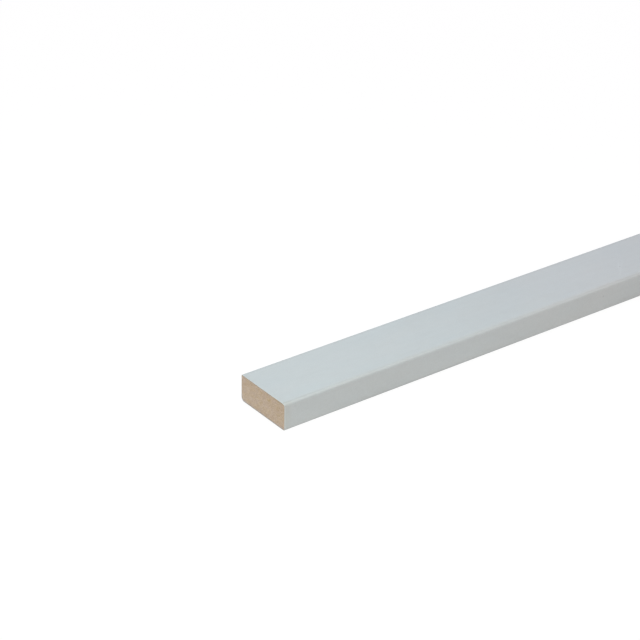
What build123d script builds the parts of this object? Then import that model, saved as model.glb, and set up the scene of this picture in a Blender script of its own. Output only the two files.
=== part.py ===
from build123d import *
import os

# Skirting board: one length of plain square-edged, primed fibreboard, lying on its back with its room face up.
# Frame: +X along the length, +Y across from the top edge to the floor edge, +Z up from the back to the room face.
# The origin is at the middle of the back. Sizes are in millimetres.

board_length = 2400.0
board_width = 44.0  # from the top edge to the floor edge, the board's height on the wall
board_thickness = 18.0  # from the back to the room face

# Radius of each long arris, named by the two surfaces that meet there.
top_edge_to_face_radius = 2.0  # eased with a cutter, the arris that shows in the room
floor_edge_to_back_radius = 3.0  # heel relief, clear of whatever fills the corner of wall and floor
top_edge_to_back_radius = 0.5  # only broken by sanding
floor_edge_to_face_radius = 0.3  # only broken by sanding


def ease(section, y, z, radius):
    # Rounds the corner of the section nearest to y, z, measured in the section itself.
    corner = section.vertices().sort_by_distance((y, z))[0]
    return fillet(corner, radius)


def make_section():
    # The section looks along +X: y runs across the board and z through its thickness.
    top_edge = -board_width / 2
    floor_edge = board_width / 2
    back = 0
    face = board_thickness
    with BuildSketch(Plane.YZ) as drawing:
        Rectangle(board_width, board_thickness, align=(Align.CENTER, Align.MIN))
        ease(drawing, top_edge, face, top_edge_to_face_radius)
        ease(drawing, floor_edge, back, floor_edge_to_back_radius)
        ease(drawing, top_edge, back, top_edge_to_back_radius)
        ease(drawing, floor_edge, face, floor_edge_to_face_radius)
    return drawing.sketch


def make_board():
    # Run through the moulder as one profile and sawn square at both ends.
    return extrude(make_section(), board_length / 2, both=True)


os.makedirs("parts", exist_ok=True)
export_step(make_board(), "parts/skirting_board.step")
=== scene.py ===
import math
import random

import bpy
from mathutils import Euler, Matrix, Quaternion, Vector, noise
from mathutils.geometry import delaunay_2d_cdt


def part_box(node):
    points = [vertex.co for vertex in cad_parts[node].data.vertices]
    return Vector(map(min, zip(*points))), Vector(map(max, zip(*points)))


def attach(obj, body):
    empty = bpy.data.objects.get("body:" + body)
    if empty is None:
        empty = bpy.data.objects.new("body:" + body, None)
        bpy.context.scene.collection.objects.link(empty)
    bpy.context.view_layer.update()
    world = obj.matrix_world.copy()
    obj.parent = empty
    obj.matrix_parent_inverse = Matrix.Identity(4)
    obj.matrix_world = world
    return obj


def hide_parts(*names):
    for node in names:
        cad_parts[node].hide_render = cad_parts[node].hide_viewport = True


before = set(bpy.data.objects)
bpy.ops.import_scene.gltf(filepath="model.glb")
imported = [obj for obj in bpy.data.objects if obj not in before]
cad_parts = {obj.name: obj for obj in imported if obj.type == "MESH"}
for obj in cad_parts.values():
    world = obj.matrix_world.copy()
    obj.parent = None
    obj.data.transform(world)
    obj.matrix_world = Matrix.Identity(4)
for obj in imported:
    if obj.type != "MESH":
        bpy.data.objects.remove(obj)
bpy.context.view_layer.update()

# A primed fibreboard skirting board, lying on its back on a pale studio floor.
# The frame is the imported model's: X runs along the board, Y across it towards its floor edge, and Z up from
# its back.

mm = 0.001
low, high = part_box("skirting_board")
nearEnd, farEnd = low.x, high.x  # the sawn ends, the near one is the one the camera sees
topEdge, floorEdge = low.y, high.y  # the two narrow surfaces
back, face = low.z, high.z  # the two broad surfaces
print("board loaded, %.0f by %.0f by %.0f mm" % tuple((high - low) / mm))


# Fitted to the photograph's long edges and to the outline of the sawn end.
photoCamera = {
    "place": (-1.81039, -0.83613, 0.63229),
    "heading": 52.0196,  # degrees, from +X towards +Y
    "down": 28.6578,  # degrees below level
    "tilt": 1.4610,  # degrees about the line of sight
    "lens": 112.348,
    "sensor": 36.0,
    "nearest": 0.01,
    "farthest": 200.0,
}


def setUpCamera():
    data = bpy.data.cameras.new("photo camera")
    data.lens = photoCamera["lens"]
    data.sensor_width = photoCamera["sensor"]
    data.clip_start = photoCamera["nearest"]
    data.clip_end = photoCamera["farthest"]
    camera = bpy.data.objects.new("photo camera", data)
    bpy.context.scene.collection.objects.link(camera)
    level = math.radians(90 - photoCamera["down"])
    turn = math.radians(photoCamera["heading"] - 90)
    aim = Euler((level, 0, turn)).to_quaternion()
    roll = Quaternion((0, 0, 1), math.radians(photoCamera["tilt"]))
    camera.rotation_mode = "QUATERNION"
    camera.rotation_quaternion = aim @ roll
    camera.location = photoCamera["place"]
    bpy.context.scene.camera = camera


setUpCamera()
print("camera placed")


def addNode(tree, kind, sockets=None, **options):
    # Adds a node and fills its sockets: another node's output is linked, anything else is set.
    node = tree.nodes.new("ShaderNode" + kind)
    for name, value in options.items():
        setattr(node, name, value)
    for name, value in (sockets or {}).items():
        if isinstance(value, bpy.types.NodeSocket):
            tree.links.new(value, node.inputs[name])
        else:
            node.inputs[name].default_value = value
    return node


def newMaterial(name):
    material = bpy.data.materials.new(name)
    material.use_nodes = True
    material.node_tree.nodes.clear()
    return material, material.node_tree


def finishSurface(tree, shader):
    addNode(tree, "OutputMaterial", {"Surface": shader})


def calculate(tree, operation, a, b=0.0, c=0.0):
    return addNode(tree, "Math", {0: a, 1: b, 2: c}, operation=operation).outputs[0]


def calculateVector(tree, operation, a, b):
    # Scales the vector a by the number b, or adds or multiplies two vectors.
    second = "Scale" if operation == "SCALE" else 1
    return addNode(tree, "VectorMath", {0: a, second: b}, operation=operation).outputs[0]


def overlap(tree, *masks):
    # Where all the masks apply.
    product = masks[0]
    for mask in masks[1:]:
        product = calculate(tree, "MULTIPLY", product, mask)
    return product


def tinted(tree, base, tint, amount):
    # The base with an amount of the tint added to it.
    return calculateVector(tree, "ADD", base, calculateVector(tree, "SCALE", tint, amount))


def blotches(tree, where, size, stretch=(1, 1, 1), detail=2.0, rough=0.5):
    # Even noise round 0.5, with features of that size in metres, drawn out along the board's axes.
    scale = [1 / (size * s) for s in stretch]
    placed = addNode(tree, "Mapping", {"Vector": where, "Scale": scale})
    sockets = {"Vector": placed.outputs[0], "Scale": 1.0, "Detail": detail, "Roughness": rough}
    return addNode(tree, "TexNoise", sockets).outputs[0]


def ramp(tree, value, start, end, first=0.0, last=1.0):
    # Turns a value smoothly from first to last between start and end.
    sockets = {"Value": value, "From Min": start, "From Max": end, "To Min": first, "To Max": last}
    return addNode(tree, "MapRange", sockets, interpolation_type="SMOOTHSTEP").outputs[0]


def gather(tree, total, layers):
    # Adds up layers of (amount, mask, middle): each mask counts by how far it is from its own middle.
    for amount, mask, middle in layers:
        shifted = calculate(tree, "MULTIPLY_ADD", mask, amount, -amount * middle)
        total = calculate(tree, "ADD", total, shifted)
    return total


def lineAt(tree, value, middle, width):
    # 1 along the line where the value is the middle one, and 0 beyond half the width from it.
    away = calculate(tree, "ABSOLUTE", calculate(tree, "SUBTRACT", value, middle))
    return ramp(tree, away, width / 2, 0.0)


def markAt(tree, where, place, reach, turn=0.0, axis="Z"):
    # A soft patch at a real place on the board: 1 in its middle, 0 outside its reach.
    softCore = 0.15  # the part of the reach that is at full strength
    angles = [0.0, 0.0, 0.0]
    angles["XYZ".index(axis)] = math.radians(turn)
    sockets = {"Vector": where, "Location": place, "Rotation": angles, "Scale": reach}
    local = addNode(tree, "Mapping", sockets, vector_type="TEXTURE")
    away = addNode(tree, "VectorMath", {0: local.outputs[0]}, operation="LENGTH")
    return ramp(tree, away.outputs["Value"], 1.0, softCore)


board = {
    "easedArris": 2.0 * mm,  # top edge to face, cut in the moulder
    "heelArris": 3.0 * mm,  # floor edge to back
    "backArris": 0.5 * mm,  # top edge to back, only sanded
    "floorArris": 0.3 * mm,  # floor edge to face, only sanded
    "walkStep": 1.0 * mm,  # points across the flats
    "arrisSteps": (0.05 * mm, 0.2 * mm, 0.5 * mm),  # closer points on a flat beside its arrises
    "ringStep": 8.0 * mm,  # rings along the length
    "dip": 0.03 * mm,  # how far the planed surfaces wander inwards
    "swayLength": 90 * mm,  # over what length they do so, along the board
    "swayWidth": 24 * mm,  # and across it
    "quirkPlace": 0.25 * mm,  # the cutter's line, measured round the eased arris from the face
    "quirkWidth": 0.15 * mm,
    "lip": 0.10 * mm,  # the crumbled edge beside each saw cut
    "lipLeast": 0.55,  # the share of it that is broken off everywhere beside the cut
    "rimLeast": 0.2,  # and on the rim of the end
    "crumbSizes": (1.9 * mm, 0.7 * mm),  # coarse and fine
    "crumbShares": (0.35, 0.7, 0.5),  # broken off everywhere, in coarse crumbs and in fine ones
    "fibrePitch": 0.36 * mm,  # points over the sawn ends
    "fibreJostle": 0.1 * mm,
    "fibreMargin": 0.2 * mm,  # the strip inside the lip that has no points
    "fibreDepth": 0.08 * mm,
    "rimDepth": 0.4,  # the share of that depth on the rim of the end
    "fibreLayers": (2.6 * mm, 0.7 * mm, 0.55),  # torn layers: length, thickness, share of the depth
    "fibreStrands": (0.9 * mm, 0.4 * mm, 0.5),  # the same for single strands
    "kerf": (2.3 * mm, 0.35, 0.12),  # the saw's own marks: pitch, slant, share of the depth
    "runOut": 0.1 * mm,  # how far the saw strayed inwards at the end's lower front corner
    "runOutReach": 12 * mm,
}

primer = {
    "colour": (0.560, 0.609, 0.624),  # pale blue grey, sprayed on and denibbed
    # Patterns in the coat: size, how far drawn out along the axes, and detail.
    "patterns": {
        "clouds": (26 * mm, (1.6, 1, 1), 1.5),
        "mottle": (4.2 * mm, (1.5, 1, 1), 2.0),
        "stipple": (0.9 * mm, (1, 1, 1), 1.0),
        "streaks": (2.6 * mm, (45, 1, 1), 3.0),
        "hue": (14 * mm, (2.5, 1, 1), 3.0),
        "scuffs": (7 * mm, (9, 1, 1), 4.0),
        "creaseShadePatches": (18 * mm, (3, 1, 1), 2.0),
        "peel": (1.1 * mm, (1.3, 1, 1), 3.0),
        "scratches": (0.22 * mm, (60, 1, 1), 2.0),
    },
    # How much they and the marks lighten or darken it.
    "clouds": 0.044,
    "mottle": 0.058,
    "stipple": 0.088,
    "streaks": 0.046,
    "scuffs": -0.020,
    "nibs": -0.070,  # grains of dust under the coat
    "creaseShade": -0.088,  # painted shade in the cutter's line beside the eased arris
    "ridgeHighlight": 0.030,  # painted highlight: the paler line below it, along the arris
    "ridgeShade": -0.085,  # painted shade: the dim line under the arris, towards the near end
    "endHighlight": 0.085,  # painted highlight: the pale line beside the saw cut
    "darkByFaceArris": -0.030,  # darker beside the sharp arris of the face
    "shadeByFloor": -0.005,  # painted shade beside the sharp arris of the back, where the board meets the floor
    "darkOnFaceArris": -0.050,  # darker on the sharp arris of the face itself
    # Painted shade on the sharp arris of the back itself, where the board meets the floor.
    "shadeAtFloor": -0.050,
    # The shares that are left where a mark is weakest.
    "weakCreaseShade": 0.38,  # of the painted crease shade, along the board
    "patchyCreaseShade": 0.8,  # of the painted crease shade, in its weaker patches
    "cutOnFace": 0.15,  # of the painted highlight and the saw dust beside the cut, on the face
    # How much red, green and blue the differences of hue add.
    "arrisLightTint": (0.002, -0.003, -0.014),  # painted light: the eased arris is tinted less blue, as the warmer light from the side tints it
    "agedFace": (0.0070, -0.0025, 0.0000),  # the hue drifts along the board
    "agedEdge": (0.0000, -0.0030, -0.0060),
    "sawDust": (-0.013, -0.020, -0.036),  # rubbed into the coat beside the saw cut
    "hue": (0.0176, -0.0032, -0.0176),
    # Sheen and relief. The last three are shares of the peel's depth.
    "roughness": 0.58,
    "dullMottle": 0.16,
    "dullStreaks": 0.12,
    "creaseGloss": -0.05,
    "specular": 0.45,
    "peel": 0.012 * mm,
    "knifePitch": 1.9 * mm,  # the moulder's cutter marks
    "scratchDepth": 0.35,
    "knifeDepth": 0.04,
    "nibHeight": 0.8,
}

# Where the coat's lines and marks lie. A pair is where a mark starts and where it is full.
primerPlaces = {
    "scuff": (0.64, 0.76),  # high in the pattern, so that scuffs are rare
    "nib": (0.016, 0.006),  # from a grain's middle, as shares of the spacing
    "nibSpacing": 34 * mm,
    "creaseShadePatch": (0.35, 0.65),
    # Round the eased arris: above 0 on the face, from the top edge, and below 0 on the edge, from the face.
    "quirk": 2.15 * mm,
    "quirkWidth": 2.5 * mm,
    "arrisHighlight": 0.75 * mm,
    "arrisHighlightWidth": 1.2 * mm,
    "underShade": -1.0 * mm,
    "underShadeWidth": 2.2 * mm,
    "arrisTintAbove": (4.5 * mm, 2.0 * mm),
    "arrisTintBelow": (-0.8 * mm, 1.2 * mm),
    "drift": 1.2 * mm,  # how much lower the first two lines lie, once they have drifted
    # From the near end.
    "drifting": (0.0, 300 * mm),
    "creaseShadeByEnd": (60 * mm, 16 * mm),
    "creaseShadeFurtherOn": (225 * mm, 280 * mm),
    "underShadeByEnd": (190 * mm, 10 * mm),
    "agedFrom": (150 * mm, 260 * mm),
    "agedUntil": (760 * mm, 420 * mm),
    # From either saw cut.
    "endHighlight": (1.5 * mm, 0.6 * mm),
    "sawDust": (7 * mm, 2 * mm),
    # From the top edge, the floor edge and the back.
    "cutByEdge": (5 * mm, 1 * mm),
    "onFace": (0.0, 1 * mm),
    "darkByFaceArris": (3.0 * mm, 1.4 * mm),
    "darkOnFaceArris": (1.2 * mm, 0.4 * mm),
    "shadeByFloor": (2.4 * mm, 1.1 * mm),
    "shadeAtFloor": (1.0 * mm, 0.4 * mm),
}

# Marks on the face that the camera sees: distance from the near end, place across, half length, half width,
# turn in degrees, and how much lighter or darker than the primer.
faceMarks = [
    (294.3, -6.3, 0.8, 0.7, 0, -0.300),
    (293.2, -7.9, 9.0, 2.2, 45, 0.034),
    (295.6, -4.0, 8.0, 0.9, 45, 0.032),
    (299.2, -4.2, 3.0, 0.9, 26, 0.030),
    (287.0, -14.2, 6.0, 1.2, 45, 0.030),
    (36.7, -1.3, 12.5, 0.9, 0, -0.020),
    (36.7, -5.3, 12.0, 0.8, 0, -0.016),
    (63.7, -1.5, 3.0, 1.6, 20, -0.018),
    (84.0, -5.2, 3.5, 1.4, -15, -0.012),
    (123.2, -3.6, 3.0, 1.8, 0, -0.012),
    (175.1, 6.8, 2.6, 1.8, 30, -0.014),
    (185.5, -10.9, 2.6, 1.6, 10, -0.014),
    (143.0, 17.0, 10.0, 0.9, 0, -0.012),
    (275.5, 16.0, 9.0, 0.9, 0, -0.012),
    (21.2, 10.0, 3.0, 2.6, 0, -0.006),
]

# The same for the narrow top edge, with the height above the back instead of the place across.
edgeMarks = [
    (181.3, 6.1, 8.0, 2.2, 0, -0.026),
    (54.5, 10.6, 2.6, 1.8, 0, -0.026),
    (53.3, 2.4, 2.8, 1.4, 0, 0.020),
    (264.6, 11.0, 1.0, 0.9, 0, -0.160),
    (285.7, 7.8, 1.7, 1.5, 0, -0.028),
    # Painted shade: a dark line along the foot of this side, where it meets the floor.
    (110.0, 0.4, 100.0, 1.4, 0, -0.075),
    # Painted light: the lower part of this side is lighter by the near end.
    (8.0, 2.0, 46.0, 11.0, 0, 0.055),
    # Painted light: the lower part of this side is a little lighter further on.
    (130.0, 4.0, 70.0, 8.5, 0, 0.024),
    # Painted shade: the upper part of this side is a little darker here.
    (250.0, 14.0, 34.0, 4.0, 0, -0.022),
    (310.0, 9.0, 80.0, 16.0, 0, -0.026),
    (292.0, 2.0, 40.0, 3.2, 0, -0.036),
]

markDepth = 2 * mm  # how deep a mark's patch reaches into the board
markWander = 1.4 * mm  # how ragged the outlines of the marks are
markWanderSize = 2.2 * mm


def fromSurface(tree, value, surface, reach, first=0.0, last=1.0):
    # A ramp between two distances inwards from one of the board's surfaces.
    inwards = 1 if surface in (nearEnd, topEdge, back) else -1
    start, end = (surface + inwards * distance for distance in reach)
    return ramp(tree, value, start, end, first, last)


def arrisLines(tree, x, across, patches):
    # Painted shade in the cutter's line, a painted highlight below it and painted shade under the arris.
    at = primerPlaces
    drift = fromSurface(tree, x, nearEnd, at["drifting"], 0.0, at["drift"])
    lowered = calculate(tree, "ADD", across, drift)
    # The painted shade in the cutter's line is strongest by the near end and further on, and patchy.
    byEnd = fromSurface(tree, x, nearEnd, at["creaseShadeByEnd"], primer["weakCreaseShade"])
    furtherOn = fromSurface(tree, x, nearEnd, at["creaseShadeFurtherOn"], primer["weakCreaseShade"])
    heavy = calculate(tree, "MAXIMUM", byEnd, furtherOn)
    patchy = ramp(tree, patches, *at["creaseShadePatch"], primer["patchyCreaseShade"])
    quirk = overlap(tree, lineAt(tree, lowered, at["quirk"], at["quirkWidth"]), heavy, patchy)
    # A painted highlight along the arris, below the cutter's line.
    arrisHighlight = lineAt(tree, lowered, at["arrisHighlight"], at["arrisHighlightWidth"])
    # Painted shade under the arris, towards the near end.
    underShade = lineAt(tree, across, at["underShade"], at["underShadeWidth"])
    underShade = overlap(tree, underShade, fromSurface(tree, x, nearEnd, at["underShadeByEnd"]))
    return quirk, arrisHighlight, underShade


def placedMarks(tree, where):
    # The marks at real places, with outlines that wander a little.
    sockets = {"Vector": where, "Scale": 1 / markWanderSize, "Detail": 2.0}
    wander = addNode(tree, "TexNoise", sockets).outputs["Color"]
    offset = calculateVector(tree, "SUBTRACT", wander, (0.5, 0.5, 0.5))
    ragged = tinted(tree, where, offset, markWander)
    layers = []
    for along, across, length, width, turn, amount in faceMarks:
        place = (nearEnd + along * mm, across * mm, face)
        reach = (length * mm, width * mm, markDepth)
        layers.append((amount, markAt(tree, ragged, place, reach, turn), 0.0))
    for along, height, length, width, turn, amount in edgeMarks:
        place = (nearEnd + along * mm, topEdge, height * mm)
        reach = (length * mm, markDepth, width * mm)
        layers.append((amount, markAt(tree, ragged, place, reach, turn, "Y"), 0.0))
    return layers


def makePrimer():
    material, tree = newMaterial("primer")
    where = addNode(tree, "TexCoord").outputs["Object"]
    x, y, z = addNode(tree, "SeparateXYZ", {0: where}).outputs
    at = primerPlaces
    patterns = {name: blotches(tree, where, *kind) for name, kind in primer["patterns"].items()}
    layers = [(primer[name], patterns[name], 0.5) for name in ("clouds", "mottle", "stipple", "streaks")]

    cells = addNode(tree, "TexVoronoi", {"Vector": where, "Scale": 1 / at["nibSpacing"]})
    nibs = ramp(tree, cells.outputs["Distance"], *at["nib"])
    across = calculate(tree, "SUBTRACT", calculate(tree, "ADD", y, z), topEdge + face)
    quirk, arrisHighlight, underShade = arrisLines(tree, x, across, patterns["creaseShadePatches"])
    fromMiddle = calculate(tree, "ABSOLUTE", x)
    byEdge = fromSurface(tree, y, topEdge, at["cutByEdge"], primer["cutOnFace"])
    marks = {
        "scuffs": ramp(tree, patterns["scuffs"], *at["scuff"]),
        "nibs": nibs,
        # Painted shade in the cutter's line, a painted highlight below it and painted shade under the arris.
        "creaseShade": quirk,
        "ridgeHighlight": arrisHighlight,
        "ridgeShade": underShade,
        # A painted highlight beside each saw cut.
        "endHighlight": overlap(tree, fromSurface(tree, fromMiddle, farEnd, at["endHighlight"]), byEdge),
        # Darker beside the sharp arris of the face, and on it.
        "darkByFaceArris": fromSurface(tree, y, floorEdge, at["darkByFaceArris"]),
        # Painted shade along the back, where the board meets the floor.
        "shadeByFloor": fromSurface(tree, z, back, at["shadeByFloor"]),
        "darkOnFaceArris": fromSurface(tree, y, floorEdge, at["darkOnFaceArris"]),
        "shadeAtFloor": fromSurface(tree, z, back, at["shadeAtFloor"]),
    }
    layers += [(primer[name], mask, 0.0) for name, mask in marks.items()]
    shade = gather(tree, 1.0, layers + placedMarks(tree, where))
    coat = calculateVector(tree, "SCALE", primer["colour"], shade)

    # Painted light: the eased arris takes the warmer hue of the light from the side.
    arrisTint = overlap(tree, ramp(tree, across, *at["arrisTintAbove"]), ramp(tree, across, *at["arrisTintBelow"]))
    aged = overlap(tree, *(fromSurface(tree, x, nearEnd, at[reach]) for reach in ("agedFrom", "agedUntil")))
    onFace = fromSurface(tree, y, topEdge, at["onFace"])
    onEdge = calculate(tree, "SUBTRACT", 1.0, onFace)
    hues = {
        "arrisLightTint": arrisTint,
        "agedFace": overlap(tree, aged, onFace),
        "agedEdge": overlap(tree, aged, onEdge),
        "sawDust": overlap(tree, fromSurface(tree, fromMiddle, farEnd, at["sawDust"]), byEdge),
        "hue": calculate(tree, "SUBTRACT", patterns["hue"], 0.5),
    }
    for name, amount in hues.items():
        coat = tinted(tree, coat, primer[name], amount)

    # Orange peel, fine denibbing scratches along the length, and the moulder's knife marks across it.
    knives = calculate(tree, "SINE", calculate(tree, "MULTIPLY", x, 2 * math.pi / primer["knifePitch"]))
    relief = gather(tree, patterns["peel"], [
        (primer["scratchDepth"], patterns["scratches"], 0.0),
        (primer["knifeDepth"], knives, 0.0),
        (primer["nibHeight"], nibs, 0.0),
    ])
    bump = addNode(tree, "Bump", {"Strength": 1.0, "Distance": primer["peel"], "Height": relief})
    gloss = gather(tree, primer["roughness"], [
        (primer["dullMottle"], patterns["mottle"], 0.5),
        (primer["dullStreaks"], patterns["streaks"], 0.5),
        # A little glossier along the cutter's line, where its shade is painted.
        (primer["creaseGloss"], quirk, 0.0),
    ])
    shader = addNode(tree, "BsdfPrincipled", {
        "Base Color": coat,
        "Roughness": gloss,
        "Specular IOR Level": primer["specular"],
        "Normal": bump.outputs[0],
    })
    finishSurface(tree, shader.outputs[0])
    return material


rawFibre = {
    "colour": (0.632, 0.498, 0.367),  # bare wood fibre, pinkish brown
    # How strongly red, green and blue follow the grain: dark fibre is browner.
    "grain": (0.78, 1.0, 1.42),
    # Patterns of the fibre: size, how far drawn out along the axes, detail and roughness.
    "patterns": {
        "flocks": (4.6 * mm, (1, 1.8, 1), 2.0, 0.5),
        "tufts": (1.7 * mm, (1, 1.6, 0.8), 3.0, 0.5),
        "fibres": (0.30 * mm, (1, 2.8, 0.8), 3.0, 0.65),
        "bark": (0.8 * mm, (1, 1.8, 0.7), 2.0, 0.5),
        "resin": (2.4 * mm, (1, 1.8, 1), 3.0, 0.5),
    },
    # How much they and the marks lighten or darken it.
    "flocks": 0.16,
    "tufts": 0.42,
    "fibres": 1.62,
    "bark": -0.08,  # dark flecks
    "towardsFace": -0.060,  # the pressed surfaces are denser, so the board is a little darker there
    "skin": -0.070,
    "backLine": -0.060,  # darker along the back
    "towardsFloor": 0.030,
    "paleFibre": 0.10,
    # Resin, and how much of it shows in its patches and near the heel.
    "yellow": (0.007, -0.003, -0.048),
    "resin": 2.8,
    "resinPatch": 0.5,
    "resinInHeel": -0.7,
    # Primer and dust that the saw dragged over the end's rim, with painted shade along the back and round the
    # heel where the board meets the floor, and the shares of it in two places.
    "edgeFilmAndShade": (0.41, 0.395, 0.375),
    "filmHighUp": 0.35,
    "filmByFace": 0.35,
    "roughness": 0.92,
    "specular": 0.25,
    "fuzz": 0.07 * mm,
    "tuftDepth": 0.7,  # as a share of the fuzz
}

# Where the fibre's marks lie on a sawn end. A pair is where a mark starts and where it is full.
fibrePlaces = {
    "bark": (0.66, 0.74),  # high in the pattern, so that flecks are rare
    "paleFibreWidth": 0.3 * mm,
    "resinTurn": 6,  # degrees
    "filmAndShade": (0.85 * mm, 0.25 * mm),  # inside the outline
    # From the back.
    "towardsFace": (3 * mm, 16 * mm),
    "backLine": 0.7 * mm,
    "backLineWidth": 1.4 * mm,
    "resinInHeel": (2.4 * mm, 0.4 * mm),
    "filmHighUp": (8 * mm, 2 * mm),
    # From the face.
    "skin": (1.5 * mm, 0.3 * mm),
    "filmByFace": (0.9 * mm, 0.4 * mm),
}

# Patches of resin on the near end: place across, height above the back, half width, half height.
resinPatches = [
    (4.7, 9.9, 3.6, 1.6),
    (-7.1, 14.2, 4.2, 1.5),
    (-17.0, 5.0, 3.2, 1.8),
]

# Single pale fibres on the near end: place across, height, half length, turn in degrees.
paleFibres = [
    (-13.4, 8.5, 1.6, 12),
    (1.0, 7.0, 1.4, -8),
    (11.6, 4.4, 1.1, 20),
    (16.8, 12.1, 1.2, -14),
]


def rimFilmAndShade(tree, y, z):
    # The film follows the rim over the back and round the heel, where it is also painted shade along the
    # board's foot.
    # It fades up the floor edge and is thin by the face.
    at = fibrePlaces
    heelArris = board["heelArris"]
    beyond = calculate(tree, "MAXIMUM", calculate(tree, "SUBTRACT", y, floorEdge - heelArris), 0.0)
    below = calculate(tree, "MAXIMUM", calculate(tree, "SUBTRACT", back + heelArris, z), 0.0)
    squares = [calculate(tree, "POWER", part, 2.0) for part in (beyond, below)]
    fromHeel = calculate(tree, "SQRT", calculate(tree, "ADD", *squares))
    inner, outer = at["filmAndShade"]
    filmAndShade = ramp(tree, fromHeel, heelArris - inner, heelArris - outer)
    filmAndShade = overlap(tree, filmAndShade, fromSurface(tree, z, back, at["filmHighUp"], rawFibre["filmHighUp"]))
    byFace = fromSurface(tree, z, face, at["filmByFace"], 0.0, rawFibre["filmByFace"])
    return calculate(tree, "MAXIMUM", filmAndShade, byFace)


def makeRawFibre():
    material, tree = newMaterial("raw fibreboard")
    where = addNode(tree, "TexCoord").outputs["Object"]
    _, y, z = addNode(tree, "SeparateXYZ", {0: where}).outputs
    at = fibrePlaces
    patterns = {name: blotches(tree, where, *kind) for name, kind in rawFibre["patterns"].items()}
    layers = [(rawFibre[name], patterns[name], 0.5) for name in ("flocks", "tufts", "fibres")]
    layers += [
        (rawFibre["bark"], ramp(tree, patterns["bark"], *at["bark"]), 0.0),
        (rawFibre["towardsFace"], fromSurface(tree, z, back, at["towardsFace"]), 0.3),
        (rawFibre["skin"], fromSurface(tree, z, face, at["skin"]), 0.0),
        (rawFibre["backLine"], lineAt(tree, z, back + at["backLine"], at["backLineWidth"]), 0.0),
        (rawFibre["towardsFloor"], ramp(tree, y, topEdge, floorEdge), 0.5),
    ]
    for across, up, length, turn in paleFibres:
        place = (nearEnd, across * mm, up * mm)
        reach = (markDepth, length * mm, at["paleFibreWidth"])
        layers.append((rawFibre["paleFibre"], markAt(tree, where, place, reach, turn, "X"), 0.0))
    shade = gather(tree, 0.0, layers)
    grained = tinted(tree, (1, 1, 1), rawFibre["grain"], shade)
    wood = calculateVector(tree, "MULTIPLY", grained, rawFibre["colour"])

    layers = [(rawFibre["resin"], patterns["resin"], 0.5)]
    for across, up, width, tall in resinPatches:
        place = (nearEnd, across * mm, up * mm)
        reach = (markDepth, width * mm, tall * mm)
        patch = markAt(tree, where, place, reach, at["resinTurn"], "X")
        layers.append((rawFibre["resinPatch"], patch, 0.0))
    layers.append((rawFibre["resinInHeel"], fromSurface(tree, z, back, at["resinInHeel"]), 0.0))
    wood = tinted(tree, wood, rawFibre["yellow"], gather(tree, 0.0, layers))
    sockets = {0: rimFilmAndShade(tree, y, z), 6: wood, 7: (*rawFibre["edgeFilmAndShade"], 1)}
    colour = addNode(tree, "Mix", sockets, data_type="RGBA").outputs[2]

    relief = calculate(tree, "MULTIPLY_ADD", patterns["tufts"], rawFibre["tuftDepth"], patterns["fibres"])
    bump = addNode(tree, "Bump", {"Strength": 1.0, "Distance": rawFibre["fuzz"], "Height": relief})
    shader = addNode(tree, "BsdfPrincipled", {
        "Base Color": colour,
        "Roughness": rawFibre["roughness"],
        "Specular IOR Level": rawFibre["specular"],
        "Normal": bump.outputs[0],
    })
    finishSurface(tree, shader.outputs[0])
    return material


# Rings close to each saw cut, as distances from it.
cutRings = [0.35 * mm, 0.6 * mm, 1.0 * mm, 1.7 * mm, 2.8 * mm, 4.5 * mm]

# Depth of the cutter's line in mm at distances from the near end. It comes and goes along the board.
quirkDepths = [
    (0, 0.13), (22, 0.12), (45, 0.05), (110, 0.06), (210, 0.04), (245, 0.10), (335, 0.12), (420, 0.05),
    (700, 0.09), (980, 0.04), (1300, 0.11), (1600, 0.05), (1900, 0.09), (2200, 0.05), (2400, 0.12),
]

# Degrees round each arris where the section has points, closest where the cutter's line runs.
quirkAngles = [i * 1.25 for i in range(13)] + [18 + i * 6 for i in range(13)]
heelAngles = [i * 9 for i in range(11)]
sandedAngles = [i * 22.5 for i in range(5)]

# The section's corners, once round: place, radius, the bearing that the arris starts at, and its angles.
corners = [
    (floorEdge, back, board["heelArris"], -90, heelAngles),
    (floorEdge, face, board["floorArris"], 0, sandedAngles),
    (topEdge, face, board["easedArris"], 90, quirkAngles),
    (topEdge, back, board["backArris"], 180, sandedAngles),
]

# Each end of the board: where it is, which way it faces, and what its torn fibre and crumbs are drawn from.
nearCut = {"x": nearEnd, "facing": -1, "seed": 3}
farCut = {"x": farEnd, "facing": 1, "seed": 47}


def quirkDepth(x):
    along = (x - nearEnd) / mm
    for (a, deep), (b, deepNext) in zip(quirkDepths, quirkDepths[1:]):
        if along <= b:
            return (deep + (deepNext - deep) * (along - a) / (b - a)) * mm
    return quirkDepths[-1][1] * mm


def flatSteps(length):
    # Points along a flat, close together beside its arrises.
    close = board["arrisSteps"]
    margin = close[-1]
    count = max(1, round((length - 2 * margin) / board["walkStep"]))
    inner = [margin + (length - 2 * margin) * i / count for i in range(1, count)]
    return [0.0, *close, *inner] + [length - step for step in reversed(close)]


def bearing(degrees):
    return Vector((math.cos(math.radians(degrees)), math.sin(math.radians(degrees))))


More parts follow.
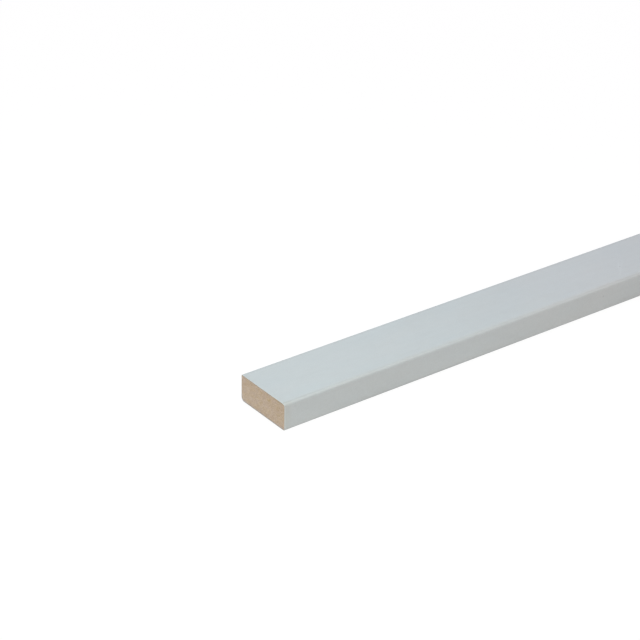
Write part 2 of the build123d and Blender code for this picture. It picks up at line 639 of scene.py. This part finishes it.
def walkSection():
    # Once round the section: over the back, the floor edge, the face and the top edge.
    # A step is its place, the outward direction, the distance walked, and how far it is past the face's end.
    steps = []
    walked = 0.0
    last = Vector((0, back))
    for y, z, radius, turn, angles in corners:
        centre = Vector((y - math.copysign(radius, y), z + (radius if z == back else -radius)))
        eased = radius == board["easedArris"]
        outward = bearing(turn)
        start = centre + outward * radius
        length = (start - last).length
        for along in flatSteps(length):
            place = last.lerp(start, along / length)
            steps.append((place, outward, walked + along, along - length if eased else None))
        walked += length
        for angle in angles:
            outward = bearing(turn + angle)
            arc = radius * math.radians(angle)
            steps.append((centre + outward * radius, outward, walked + arc, arc if eased else None))
        walked += radius * math.pi / 2
        last = steps.pop()[0]  # the next flat starts here
    start = Vector((0, back))
    length = (start - last).length
    outward = Vector((0, -1))
    for along in flatSteps(length):
        steps.append((last.lerp(start, along / length), outward, walked + along, None))
    return steps, walked + length


def surfaceDip(x, place, past):
    # How far a point of the planed surface lies inside the section.
    long, wide = board["swayLength"], board["swayWidth"]
    sway = noise.noise(Vector((x / long, place.x / wide, place.y / wide)))
    dip = board["dip"] * (0.5 + 0.5 * sway)
    if past is not None:
        off = (past - board["quirkPlace"]) / board["quirkWidth"]
        dip += quirkDepth(x) * math.exp(-off * off)
    return dip


def strayed(y, z):
    # How far inside its plane the saw cut lies. The cuts are a little out of true.
    return board["runOut"] * (floorEdge - y) / (floorEdge - topEdge) * (face - z) / (face - back)


def crumbs(place, seed):
    # From 0 to 1, how much the saw broke off the edge here.
    size, fineSize = board["crumbSizes"]
    coarse = noise.noise(Vector((place.x / size, place.y / size, seed)))
    fine = noise.noise(Vector((place.x / fineSize, place.y / fineSize, seed + 9)))
    everywhere, coarseShare, fineShare = board["crumbShares"]
    return min(1.0, max(0.0, everywhere + coarseShare * coarse + fineShare * fine))


def fibreRelief(y, z, seed):
    # Depth of the torn fibre below the plane of the saw cut. The fibres lie flat in the board, along Y here.
    long, thick, layerShare = board["fibreLayers"]
    layers = noise.noise(Vector((y / long, z / thick, seed)))
    long, thick, strandShare = board["fibreStrands"]
    strands = noise.noise(Vector((y / long, z / thick, seed + 5)))
    pitch, slant, kerfShare = board["kerf"]
    kerf = math.sin((y + slant * z) * 2 * math.pi / pitch + 2 * layers)
    depth = 0.5 + layerShare * layers + strandShare * strands + kerfShare * kerf
    return board["fibreDepth"] * min(1.0, max(0.0, depth))


def depthInside(y, z):
    # Distance from a point of the sawn end to the outline of the section.
    for cornerY, cornerZ, radius, _, _ in corners:
        across = radius - abs(cornerY - y)
        up = radius - abs(cornerZ - z)
        if across > 0 and up > 0:
            return radius - math.hypot(across, up)
    return min(y - topEdge, floorEdge - y, z - back, face - z)


def scatterFibres(seed):
    # Points over a sawn end in mm, in staggered rows and jostled a little.
    draw = random.Random(seed)
    pitch = board["fibrePitch"]
    rowPitch = pitch * math.sqrt(3) / 2
    jostle = board["fibreJostle"]
    points = []
    for row in range(int((face - back) / rowPitch)):
        for column in range(int((floorEdge - topEdge) / pitch)):
            y = topEdge + (column + 0.5 * (row % 2)) * pitch + draw.uniform(-1, 1) * jostle
            z = back + row * rowPitch + draw.uniform(-1, 1) * jostle
            if depthInside(y, z) > board["lip"] + board["fibreMargin"]:
                points.append(Vector((y / mm, z / mm)))
    return points


def ringPlaces():
    # Distances of the rings along the board. Each quarter starts and ends on a ring.
    quarter = (farEnd - nearEnd) / 4
    count = round(quarter / board["ringStep"])
    places = [nearEnd + quarter * i / count for i in range(count * 4 + 1)]
    inner = [x for x in places if x - nearEnd > cutRings[-1] and farEnd - x > cutRings[-1]]
    near = [nearEnd] * 2 + [nearEnd + c for c in cutRings]
    far = [farEnd - c for c in reversed(cutRings)] + [farEnd] * 2
    return near + inner + far


def skinPoints(places, steps):
    # The planed skin, ring by ring. The first and last ring are the rims of the sawn ends, and the rings
    # beside them are the crumbled lips.
    count = len(places)
    lip, least = board["lip"], board["rimLeast"]
    points = []
    for j, x in enumerate(places):
        cut = nearCut if j < count / 2 else farCut
        seed = cut["seed"]
        fromCut = min(x - nearEnd, farEnd - x)
        share = max(0.0, 1 - fromCut / board["runOutReach"])
        for place, outward, walked, past in steps:
            dip = surfaceDip(x, place, past)
            inwards = strayed(place.x, place.y) * share
            if j in (0, count - 1):
                dip += lip * (least + (1 - least) * crumbs(place, seed))
                inwards += board["rimDepth"] * fibreRelief(place.x, place.y, seed)
            if j in (1, count - 2):
                inwards += lip * (board["lipLeast"] + crumbs(place, seed + 20))
            spot = place - outward * dip
            points.append((x - cut["facing"] * inwards, spot.x, spot.y))
    return points


def fillEnd(vertices, first, around, cut):
    # Covers a sawn end with small triangles between its rim and the scattered fibres, and adds their points.
    # Returns the triangles, and each corner's place across and up in metres.
    rim = [Vector((y / mm, z / mm)) for _, y, z in vertices[first:first + around]]
    loop = [(k, (k + 1) % around) for k in range(around)]
    scattered = rim + scatterFibres(cut["seed"])
    points, _, triangles, origins, _, _ = delaunay_2d_cdt(scattered, loop, [], 1, 1e-6)
    index = []
    for point, origin in zip(points, origins):
        if origin and origin[0] < around:
            index.append(first + origin[0])
            continue
        index.append(len(vertices))
        y, z = point.x * mm, point.y * mm
        depth = fibreRelief(y, z, cut["seed"]) + strayed(y, z)
        vertices.append((cut["x"] - cut["facing"] * depth, y, z))
    faces, places = [], []
    for triangle in triangles:
        a, b, c = (points[i] for i in triangle)
        turned = (b - a).cross(c - a) * cut["facing"] < 0
        order = triangle[::-1] if turned else triangle
        faces.append(tuple(index[i] for i in order))
        places += [(points[i].x * mm, points[i].y * mm) for i in order]
    return faces, places


def buildBoard():
    steps, girth = walkSection()
    places = ringPlaces()
    around = len(steps)
    count = len(places)
    vertices = skinPoints(places, steps)

    # Every face gets its place on the sheet that its colours can be laid out on: the four quarters of the
    # board's skin one above the other, and the two sawn ends under them.
    gap = 2.5 * mm
    quarter = (farEnd - nearEnd) / 4
    endsHigh = face - back + 2 * gap
    sheetWide = quarter + 2 * gap
    sheetHigh = endsHigh + 4 * (girth + gap)
    faces, sheet, bare = [], [], []

    def layOut(across, up):
        sheet.append((across / sheetWide, up / sheetHigh))

    for j in range(count - 1):
        middle = (places[j] + places[j + 1]) / 2
        strip = min(3, int((middle - nearEnd) / quarter))
        left = nearEnd + strip * quarter - gap
        foot = endsHigh + strip * (girth + gap)
        for k in range(around):
            k2 = (k + 1) % around
            faces.append((j * around + k, j * around + k2, (j + 1) * around + k2, (j + 1) * around + k))
            bare.append(j in (0, count - 2))
            walked = steps[k][2]
            ahead = steps[k2][2] if k2 else girth
            for ring, reached in ((j, walked), (j, ahead), (j + 1, ahead), (j + 1, walked)):
                x = vertices[ring * around][0] if ring in (0, 1, count - 2, count - 1) else places[ring]
                layOut(x - left, foot + reached)

    for i, cut in enumerate((nearCut, farCut)):
        first = i * (count - 1) * around
        left = gap + i * (floorEdge - topEdge + gap)
        endFaces, endPlaces = fillEnd(vertices, first, around, cut)
        faces += endFaces
        bare += [True] * len(endFaces)
        for y, z in endPlaces:
            layOut(left + y - topEdge, gap + z - back)

    mesh = bpy.data.meshes.new("primed_board")
    mesh.from_pydata(vertices, [], faces)
    mesh.shade_smooth()
    layout = mesh.uv_layers.new(name="OFBake")
    layout.uv.foreach_set("vector", [value for place in sheet for value in place])
    mesh.materials.append(makePrimer())
    mesh.materials.append(makeRawFibre())
    mesh.polygons.foreach_set("material_index", [int(b) for b in bare])
    crisp = mesh.attributes.new("sharp_edge", "BOOLEAN", "EDGE")
    rims = [range(r * around, (r + 1) * around) for r in (0, 1, count - 2, count - 1)]
    for edge in mesh.edges:
        a, b = edge.vertices
        crisp.data[edge.index].value = any(a in rim and b in rim for rim in rims)
    mesh.validate()
    mesh.update()

    piece = bpy.data.objects.new("primed_board", mesh)
    bpy.context.scene.collection.objects.link(piece)
    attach(piece, "root")
    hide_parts("skirting_board")
    return piece


primedBoard = buildBoard()
print("board built, %d faces" % len(primedBoard.data.polygons))


floor = {
    "reach": 60.0,  # metres to each side
    "colour": (0.60, 0.60, 0.60),  # the pale floor as it lights the board
    "glow": (0.165, 0.180, 0.180),  # it is lit from below too, as a light table is
    "seenGlow": 0.905,  # the white that the camera and the board's gloss see
    "seenColour": (0.12, 0.12, 0.12),  # the part of it that takes the board's shadow
}


def seenDirectly(tree):
    # 1 for what the camera sees, straight or by way of gloss or glass, and 0 for the light on the board.
    path = addNode(tree, "LightPath").outputs
    seen = calculate(tree, "MAXIMUM", path["Is Camera Ray"], path["Is Glossy Ray"])
    return calculate(tree, "MAXIMUM", seen, path["Is Transmission Ray"])


def glowingSurface(tree, colour, glow, strength):
    diffuse = addNode(tree, "BsdfDiffuse", {"Color": (*colour, 1)})
    emission = addNode(tree, "Emission", {"Color": (*glow, 1), "Strength": strength})
    return addNode(tree, "AddShader", {0: diffuse.outputs[0], 1: emission.outputs[0]}).outputs[0]


def layFloor():
    reach = floor["reach"]
    mesh = bpy.data.meshes.new("studio_floor")
    outline = [(-reach, -reach, back), (reach, -reach, back), (reach, reach, back), (-reach, reach, back)]
    mesh.from_pydata(outline, [], [(0, 1, 2, 3)])
    material, tree = newMaterial("studio floor")
    lighting = glowingSurface(tree, floor["colour"], floor["glow"], 1.0)
    white = glowingSurface(tree, floor["seenColour"], (1, 1, 1), floor["seenGlow"])
    mixed = addNode(tree, "MixShader", {0: seenDirectly(tree), 1: lighting, 2: white})
    finishSurface(tree, mixed.outputs[0])
    mesh.materials.append(material)
    ground = bpy.data.objects.new("studio_floor", mesh)
    bpy.context.scene.collection.objects.link(ground)


layFloor()
print("floor laid")


# The room gives an even light, more from the ceiling's panel, and a little from the warm wall behind the
# camera.
roomLight = {
    "even": (0.425, 0.444, 0.502),
    "ceiling": (1.300, 1.226, 1.250),
    "ceilingReach": 8.0,  # the higher, the closer to straight overhead
    "wall": (0.396, 0.218, 0.077),
}

# Soft boxes round the near end: place, the point they face, width and height, colour and watts.
softBoxes = {
    "over the end": ((-1.24, 0.0, 0.44), (-1.22, 0, 0), 0.30, 0.30, (0.79, 1.0, 0.91), 0.436),
    "before the end": ((-1.30, -0.34, 0.34), (-1.16, 0, 0), 0.30, 0.30, (0.71, 1.0, 0.71), 0.129),
    "beyond the end": ((-1.70, -0.05, 0.36), (-1.16, 0, 0), 0.30, 0.30, (1.0, 1.0, 1.0), 0.300),
}


def lightRoom():
    world = bpy.data.worlds.new("studio")
    world.use_nodes = True
    tree = world.node_tree
    tree.nodes.clear()
    direction = addNode(tree, "TexCoord").outputs["Generated"]
    _, y, z = addNode(tree, "SeparateXYZ", {0: direction}).outputs
    ceiling = calculate(tree, "POWER", calculate(tree, "MAXIMUM", z, 0.0), roomLight["ceilingReach"])
    wall = calculate(tree, "MAXIMUM", calculate(tree, "MULTIPLY", y, -1.0), 0.0)
    light = tinted(tree, roomLight["even"], roomLight["ceiling"], ceiling)
    light = tinted(tree, light, roomLight["wall"], wall)
    room = addNode(tree, "Background", {"Color": light, "Strength": 1.0})
    white = addNode(tree, "Background", {"Color": (1, 1, 1, 1), "Strength": 1.0})
    sockets = {0: seenDirectly(tree), 1: room.outputs[0], 2: white.outputs[0]}
    mixed = addNode(tree, "MixShader", sockets)
    addNode(tree, "OutputWorld", {"Surface": mixed.outputs[0]})
    bpy.context.scene.world = world


def hangSoftBoxes():
    for name, (place, target, wide, tall, colour, watts) in softBoxes.items():
        data = bpy.data.lights.new(name, "AREA")
        data.shape = "RECTANGLE"
        data.size = wide
        data.size_y = tall
        data.color = colour
        data.energy = watts
        lamp = bpy.data.objects.new(name, data)
        lamp.location = place
        lamp.rotation_mode = "QUATERNION"
        lamp.rotation_quaternion = (Vector(target) - Vector(place)).to_track_quat("-Z", "Y")
        lamp.visible_camera = False
        bpy.context.scene.collection.objects.link(lamp)


lightRoom()
hangSoftBoxes()
bpy.context.scene.view_settings.view_transform = "Standard"
print("lamps hung")
